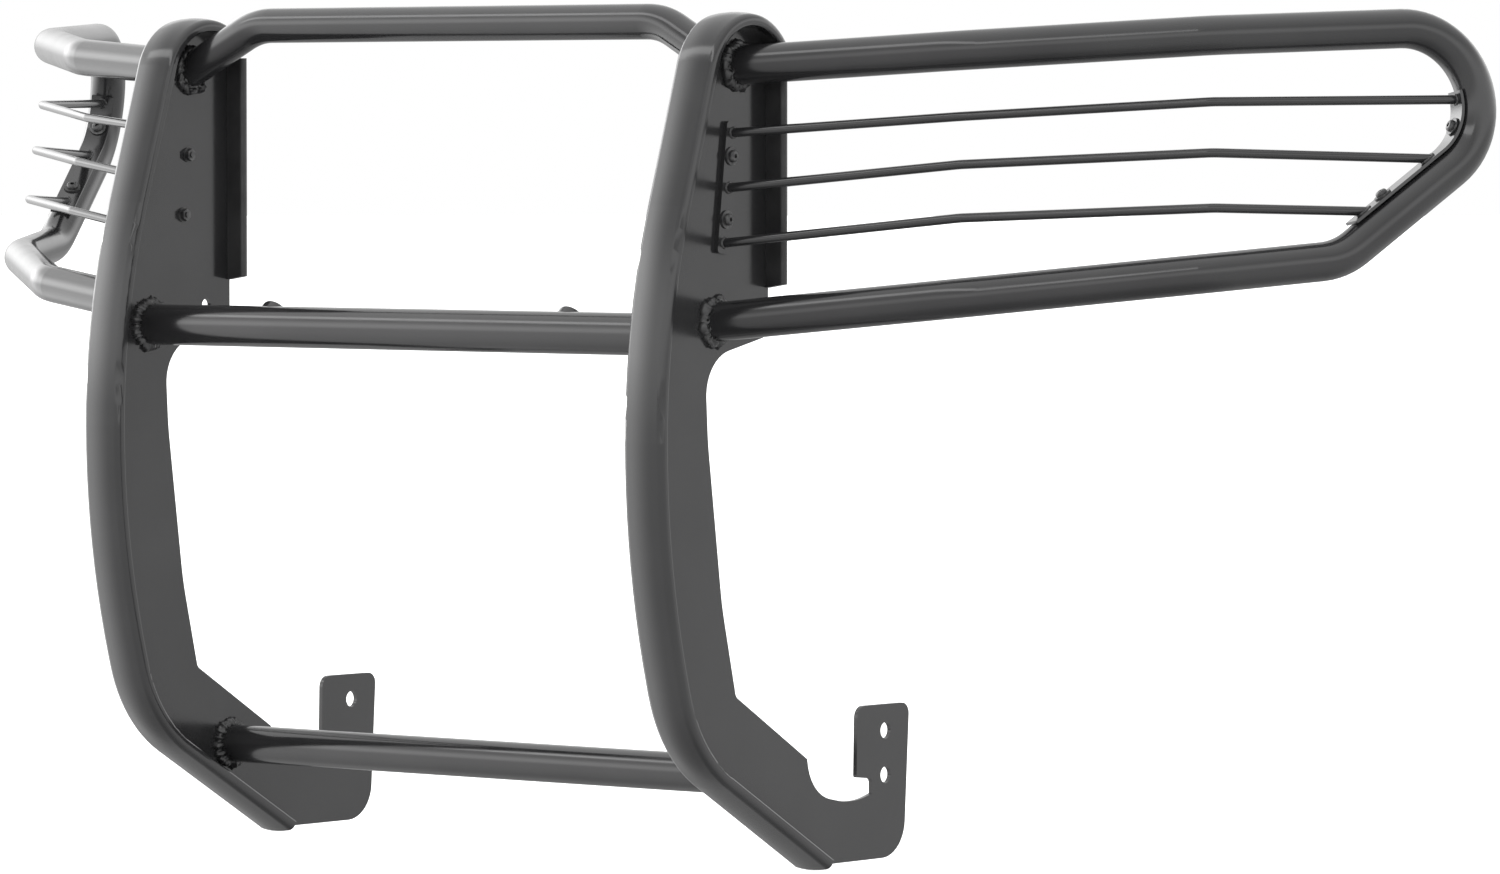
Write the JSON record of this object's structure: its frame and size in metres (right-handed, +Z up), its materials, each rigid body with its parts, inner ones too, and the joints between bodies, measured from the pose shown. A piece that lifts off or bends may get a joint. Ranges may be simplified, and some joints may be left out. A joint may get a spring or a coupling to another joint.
{
  "type": "front grille guard",
  "caption": "Welded front grille guard for a pickup: capped plate risers, crossbars, upper hoop and lamp guard wings with bolted rod inserts.",
  "frame": {"origin": "midway between the two rear mounting tabs, level with the middle of their bolt holes", "axes": "+X across the vehicle, -Y forward, +Z up; mirror-symmetric about the YZ plane"},
  "size_m": [1.8482, 0.6206, 0.8473],
  "materials": {
    "black_powder_coat": "semi-gloss black powder coat with a little orange peel",
    "edge_rubber": "matt black extruded rubber",
    "black_fasteners": "black oxide, satin"
  },
  "bodies": {
    "root": {"right_riser_plate": "black_powder_coat", "right_riser_cap": "black_powder_coat", "right_wing_tube": "black_powder_coat", "right_upper_rod": "black_powder_coat", "right_middle_rod": "black_powder_coat", "right_lower_rod": "black_powder_coat", "right_insert_bracket": "black_powder_coat", "right_insert_strip": "black_powder_coat", "right_cap_arch_plug": "black_powder_coat", "right_cap_toe_plug": "black_powder_coat", "right_edge_moulding": "edge_rubber", "left_riser_plate": "black_powder_coat", "left_riser_cap": "black_powder_coat", "left_wing_tube": "black_powder_coat", "left_upper_rod": "black_powder_coat", "left_middle_rod": "black_powder_coat", "left_lower_rod": "black_powder_coat", "left_insert_bracket": "black_powder_coat", "left_insert_strip": "black_powder_coat", "left_cap_arch_plug": "black_powder_coat", "left_cap_toe_plug": "black_powder_coat", "left_edge_moulding": "edge_rubber", "upper_hoop": "black_powder_coat", "middle_crossbar": "black_powder_coat", "lower_crossbar": "black_powder_coat", "crossbar_plugs": "black_powder_coat", "bracket_bolts": "black_fasteners", "bracket_washers": "black_fasteners", "flange_nuts": "black_fasteners", "strip_screws": "black_fasteners", "strip_washers": "black_fasteners", "threaded_inserts": "black_fasteners"}
  },
  "joints": []
}
